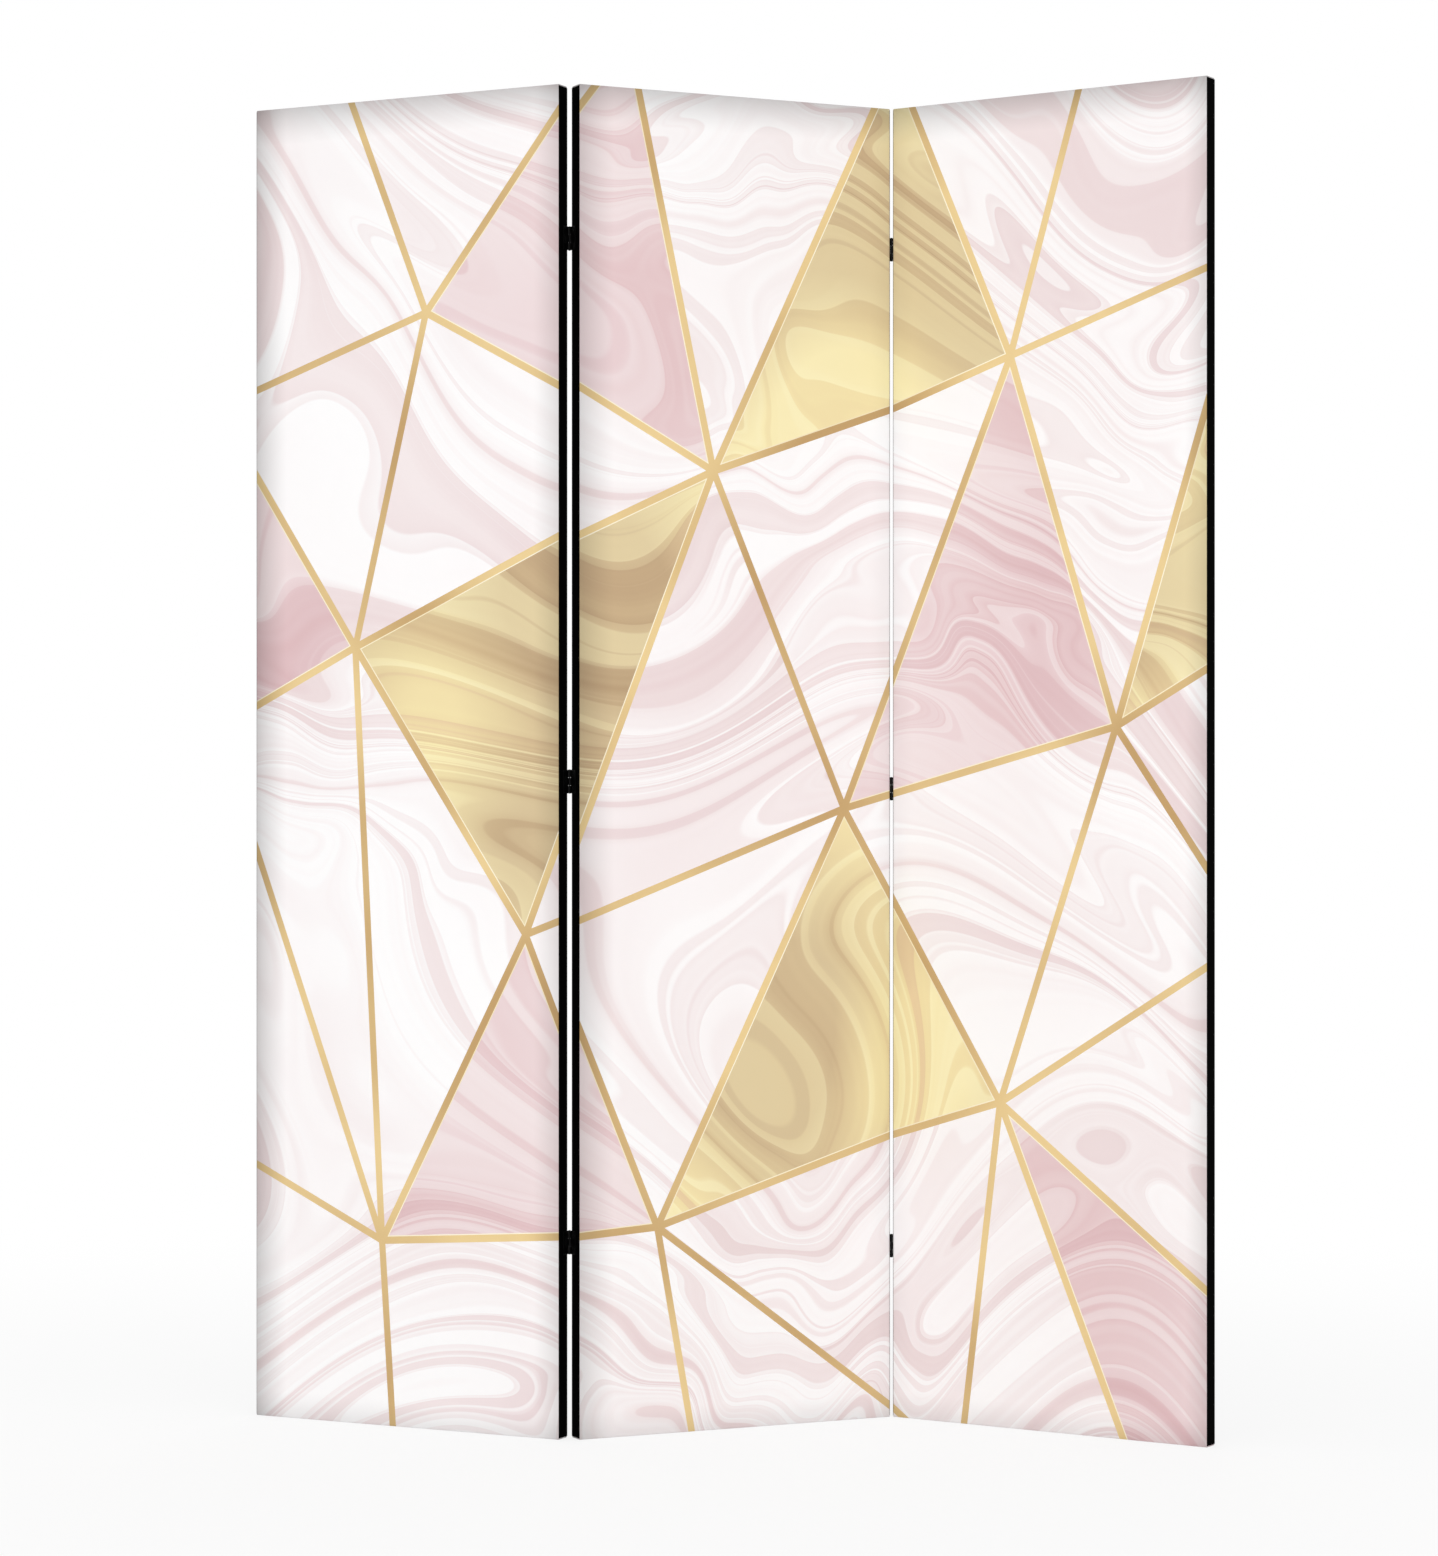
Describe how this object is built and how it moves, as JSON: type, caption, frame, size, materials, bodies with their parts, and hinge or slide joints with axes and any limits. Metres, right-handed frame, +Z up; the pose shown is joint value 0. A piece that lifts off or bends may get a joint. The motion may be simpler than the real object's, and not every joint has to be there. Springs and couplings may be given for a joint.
{
  "type": "folding screen",
  "caption": "Tall hinged room divider that stands in a zigzag: softwood frames under printed canvas, black cloth backs and edges, small butt hinges.",
  "frame": {"origin": "on the floor, under the middle of the screen's box as it stands in its zigzag", "axes": "+Z up, the printed front towards -Y, +X to the right as seen from the front"},
  "size_m": [1.2262, 0.2806, 1.72],
  "materials": {
    "printed_canvas": "woven canvas with a satin print of pale marble, blush and gold",
    "black_cloth": "matt non-woven cloth",
    "black_tape": "matt woven tape",
    "pine": "planed softwood",
    "beech": "fluted dowel",
    "hinge_steel": "black lacquer, satin",
    "screw_steel": "black oxide",
    "staple_wire": "galvanised wire"
  },
  "bodies": {
    "left_panel": {"left_panel_left_stile": "pine", "left_panel_right_stile": "pine", "left_panel_top_rail": "pine", "left_panel_upper_rail": "pine", "left_panel_lower_rail": "pine", "left_panel_bottom_rail": "pine", "left_panel_rail_dowels": "beech", "left_panel_printed_canvas": "printed_canvas", "left_panel_backing_cloth": "black_cloth", "left_panel_left_edge_tape": "black_tape", "left_panel_right_edge_tape": "black_tape", "left_panel_staples": "staple_wire", "left_panel_left_hinge_screws": "screw_steel", "left_joint_top_hinge_left_leaf": "hinge_steel", "left_joint_middle_hinge_left_leaf": "hinge_steel", "left_joint_bottom_hinge_left_leaf": "hinge_steel"},
    "middle_panel": {"middle_panel_left_stile": "pine", "middle_panel_right_stile": "pine", "middle_panel_top_rail": "pine", "middle_panel_upper_rail": "pine", "middle_panel_lower_rail": "pine", "middle_panel_bottom_rail": "pine", "middle_panel_rail_dowels": "beech", "middle_panel_printed_canvas": "printed_canvas", "middle_panel_backing_cloth": "black_cloth", "middle_panel_left_edge_tape": "black_tape", "middle_panel_right_edge_tape": "black_tape", "middle_panel_staples": "staple_wire", "middle_panel_left_hinge_screws": "screw_steel", "middle_panel_right_hinge_screws": "screw_steel", "left_joint_top_hinge_right_leaf": "hinge_steel", "left_joint_top_hinge_pin": "hinge_steel", "left_joint_middle_hinge_right_leaf": "hinge_steel", "left_joint_middle_hinge_pin": "hinge_steel", "left_joint_bottom_hinge_right_leaf": "hinge_steel", "left_joint_bottom_hinge_pin": "hinge_steel", "right_joint_top_hinge_left_leaf": "hinge_steel", "right_joint_top_hinge_pin": "hinge_steel", "right_joint_middle_hinge_left_leaf": "hinge_steel", "right_joint_middle_hinge_pin": "hinge_steel", "right_joint_bottom_hinge_left_leaf": "hinge_steel", "right_joint_bottom_hinge_pin": "hinge_steel"},
    "right_panel": {"right_panel_left_stile": "pine", "right_panel_right_stile": "pine", "right_panel_top_rail": "pine", "right_panel_upper_rail": "pine", "right_panel_lower_rail": "pine", "right_panel_bottom_rail": "pine", "right_panel_rail_dowels": "beech", "right_panel_printed_canvas": "printed_canvas", "right_panel_backing_cloth": "black_cloth", "right_panel_left_edge_tape": "black_tape", "right_panel_right_edge_tape": "black_tape", "right_panel_staples": "staple_wire", "right_panel_right_hinge_screws": "screw_steel", "right_joint_top_hinge_right_leaf": "hinge_steel", "right_joint_middle_hinge_right_leaf": "hinge_steel", "right_joint_bottom_hinge_right_leaf": "hinge_steel"}
  },
  "joints": [
    {"name": "left_fold", "type": "hinge", "parent": "middle_panel", "child": "left_panel", "pos_m": [-0.19952, -0.0587, 0], "axis": [0, 0, -1], "range_deg": [-51, 129]},
    {"name": "right_fold", "type": "hinge", "parent": "middle_panel", "child": "right_panel", "pos_m": [0.2226, 0.10334, 0], "axis": [0, 0, -1], "range_deg": [-57.5, 122.5]}
  ]
}
